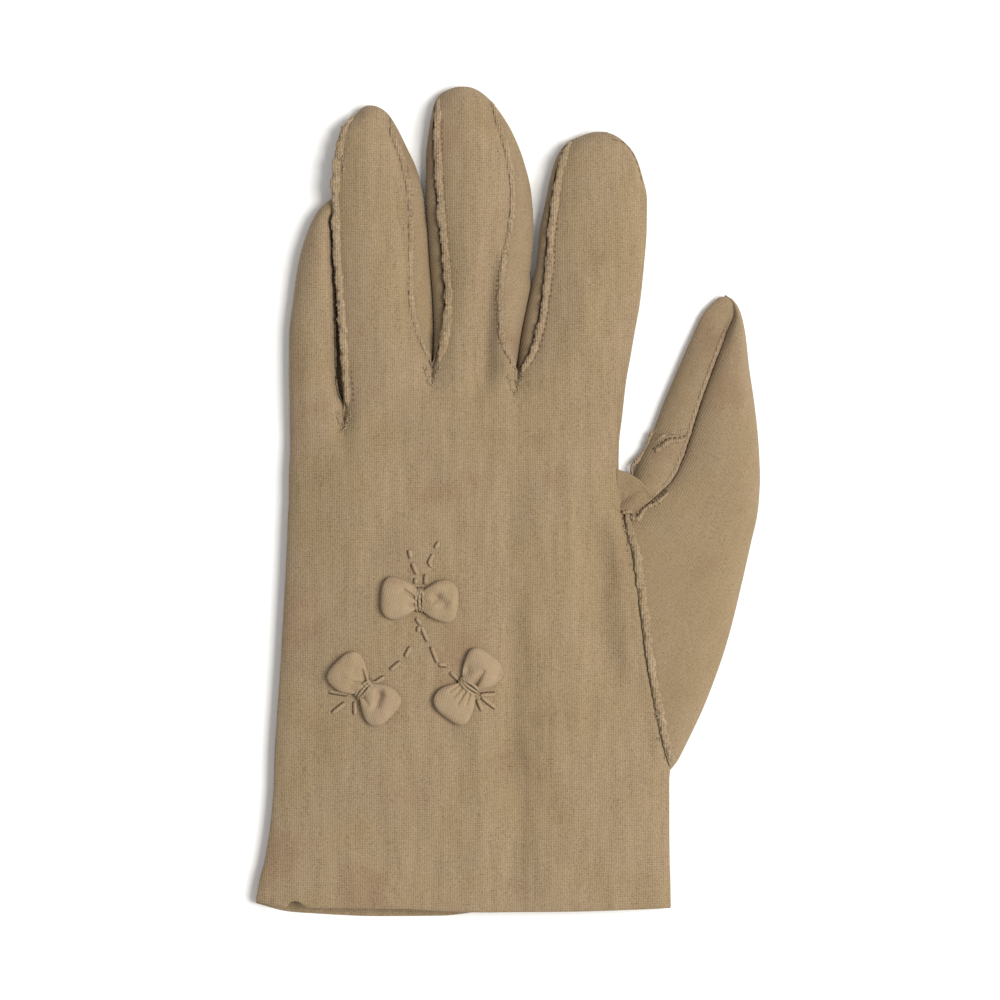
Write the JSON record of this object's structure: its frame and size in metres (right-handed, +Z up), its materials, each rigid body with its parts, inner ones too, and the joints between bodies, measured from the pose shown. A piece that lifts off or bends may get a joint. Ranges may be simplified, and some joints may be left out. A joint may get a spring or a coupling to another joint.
{
  "type": "wrist length dress glove",
  "caption": "Left-hand fabric dress glove lying on its palm, open at the cuff, with forked fingers, a set-in thumb, raised seams and padded bows on the back.",
  "frame": {"origin": "middle of the glove's outline, on the surface that the palm lies on", "axes": "+X towards the thumb side, +Y towards the fingertips, +Z up, out of the back of the hand"},
  "size_m": [0.135, 0.2238, 0.0143],
  "materials": {
    "panel_cloth": "matt woven tan cloth",
    "soft_cloth": "matt napped tan cloth",
    "thread": "low-sheen tan thread"
  },
  "bodies": {
    "root": {"back_panel": "panel_cloth", "palm_panel": "panel_cloth", "thumb": "soft_cloth", "thumb_strip": "soft_cloth", "thumb_gusset": "soft_cloth", "fork_little_ring": "soft_cloth", "fork_ring_middle": "soft_cloth", "fork_middle_index": "soft_cloth", "welt_ring_outer": "soft_cloth", "welt_ring_inner": "soft_cloth", "welt_middle_outer": "soft_cloth", "welt_middle_inner": "soft_cloth", "welt_index_outer": "soft_cloth", "welt_thumb_strip": "soft_cloth", "welt_thumb_base": "soft_cloth", "bow_top_lobe_a": "soft_cloth", "bow_top_lobe_b": "soft_cloth", "bow_top_knot": "thread", "bow_left_lobe_a": "soft_cloth", "bow_left_lobe_b": "soft_cloth", "bow_left_knot": "thread", "bow_right_lobe_a": "soft_cloth", "bow_right_lobe_b": "soft_cloth", "bow_right_knot": "thread"}
  },
  "joints": []
}
